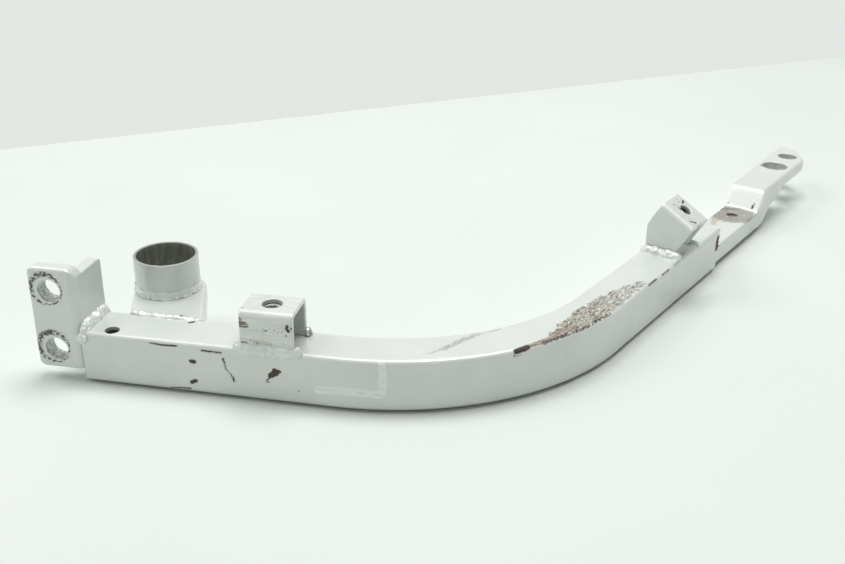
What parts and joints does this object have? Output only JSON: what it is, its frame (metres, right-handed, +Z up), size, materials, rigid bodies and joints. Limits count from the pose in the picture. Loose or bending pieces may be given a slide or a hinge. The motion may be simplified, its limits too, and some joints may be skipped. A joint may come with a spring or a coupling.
{
  "type": "subframe strut",
  "caption": "Bent box tube strut with a bolted end lug, two nut brackets, a tab with a cut cross tube stub, and a forged arm with bores.",
  "frame": {"origin": "midway between the head lug's two bolt holes, on the front face of its plate, in line with the tube's front face", "axes": "+X along the first straight run of the tube, away from the head lug; +Y to the back, the side that the tube bends to; +Z up, square to the floor that the strut lies on"},
  "size_m": [0.3905, 0.3783, 0.0573],
  "materials": {
    "tube_paint": "semi-gloss silver grey paint, worn and scratched to rust and primer in places",
    "lug_paint": "silver grey paint over a forging, chipped at the holes and edges",
    "bracket_paint": "silver grey paint over folded sheet, chipped at the bends",
    "weld_metal": "rippled weld under thin silver paint",
    "stub_steel": "silver grey paint outside, dark and rusty inside",
    "nut_steel": "dull dark steel"
  },
  "bodies": {
    "root": {"main_tube": "tube_paint", "head_lug": "lug_paint", "end_lug": "lug_paint", "stub_tab": "bracket_paint", "u_bracket": "bracket_paint", "angled_bracket": "bracket_paint", "head_weld": "weld_metal", "head_back_weld": "weld_metal", "stub_weld": "weld_metal", "tab_weld": "weld_metal", "u_front_weld": "weld_metal", "u_rear_weld": "weld_metal", "angled_near_weld": "weld_metal", "angled_far_weld": "weld_metal", "end_weld": "weld_metal", "cross_tube_stub": "stub_steel", "u_bracket_nut": "nut_steel", "angled_bracket_nut": "nut_steel"}
  },
  "joints": []
}
